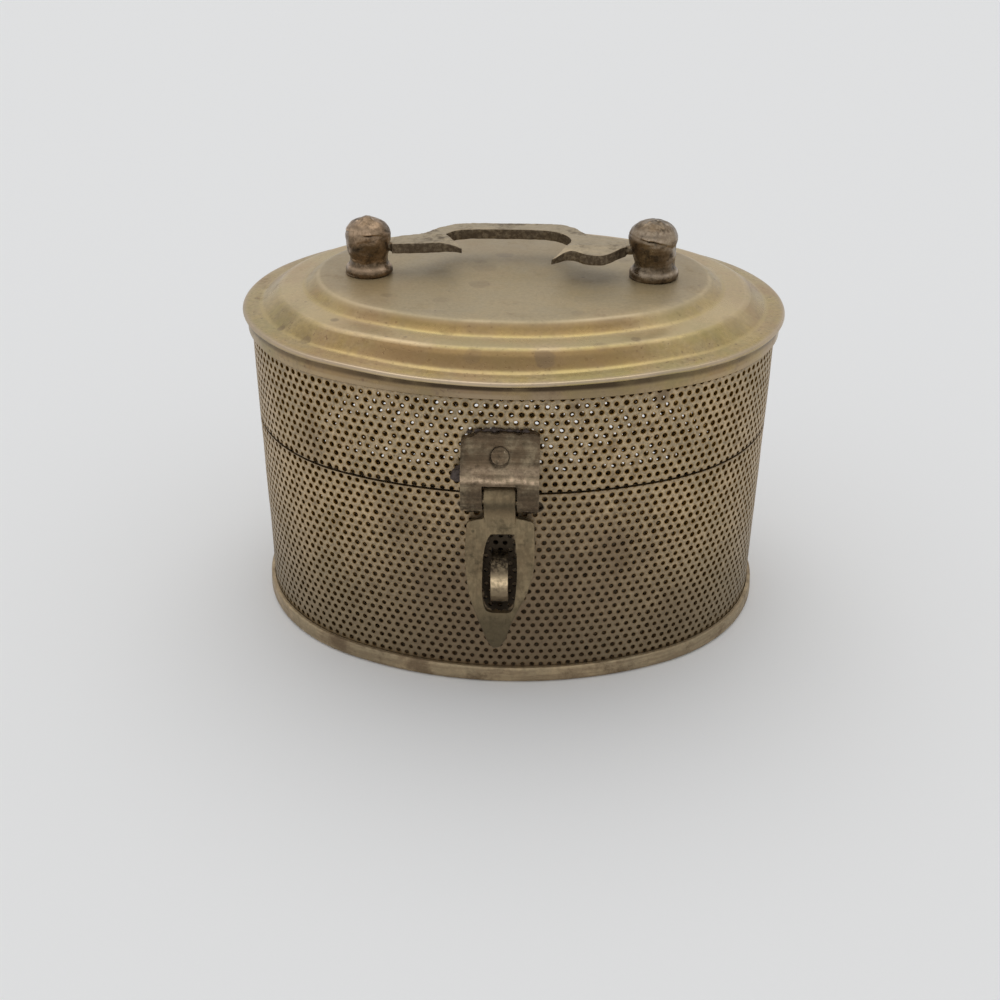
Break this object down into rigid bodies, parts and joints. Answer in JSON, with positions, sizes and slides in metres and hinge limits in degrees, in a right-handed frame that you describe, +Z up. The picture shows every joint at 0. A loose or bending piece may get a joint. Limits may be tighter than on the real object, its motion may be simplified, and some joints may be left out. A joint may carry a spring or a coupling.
{
  "type": "paan box",
  "caption": "Small oval pierced brass box with a hinged stepped lid, a swinging loop handle between knob posts and a hasp over a staple.",
  "frame": {"origin": "middle of the oval on the underside of the base, where the box rests", "axes": "+X along the long axis of the oval, +Y towards the hinge at the back, +Z up; the hasp is at -Y"},
  "size_m": [0.0784, 0.0684, 0.059],
  "materials": {
    "wall_brass": "worn satin brass with brown patina round the holes",
    "inside_brass": "dull unpolished brass",
    "lid_brass": "satin brass, tarnished on the flat and bright on the ridges",
    "post_brass": "brown coppery patina with pits",
    "handle_brass": "tarnished plate with brown edges",
    "hasp_brass": "dark brown filed plate",
    "tongue_brass": "olive brass rubbed smooth",
    "staple_brass": "brass rubbed bright",
    "hinge_brass": "tarnished brass",
    "rivet_brass": "hammered brass",
    "solder": "dark solder"
  },
  "bodies": {
    "body": {"base_pan": "wall_brass", "body_wall": "wall_brass", "seat_collar": "inside_brass", "staple": "staple_brass", "hinge_leaf_body": "hinge_brass", "body_hinge_rivets": "rivet_brass", "hinge_pin": "hinge_brass"},
    "lid": {"lid_wall": "wall_brass", "lid_top": "lid_brass", "post_left": "post_brass", "post_right": "post_brass", "post_washers": "inside_brass", "hinge_leaf_lid": "hinge_brass", "lid_hinge_rivets": "rivet_brass", "hasp_plate": "hasp_brass", "hasp_solder": "solder", "hasp_rivet": "rivet_brass", "hasp_pin": "hasp_brass"},
    "hasp": {"hasp_tongue": "tongue_brass"},
    "handle": {"handle": "handle_brass"}
  },
  "joints": [
    {"name": "lid_hinge", "type": "hinge", "parent": "body", "child": "lid", "pos_m": [0, 0.0323, 0.0302], "axis": [-1, 0, 0], "range_deg": [0, 170]},
    {"name": "hasp_swing", "type": "hinge", "parent": "lid", "child": "hasp", "pos_m": [-0.0007, -0.03238, 0.0312], "axis": [-1, 0, 0], "range_deg": [-7.4, 85]},
    {"name": "handle_swing", "type": "hinge", "parent": "lid", "child": "handle", "pos_m": [-0.00045, -0.0017, 0.0545], "axis": [1, 0, 0], "range_deg": [-14, 194]}
  ]
}
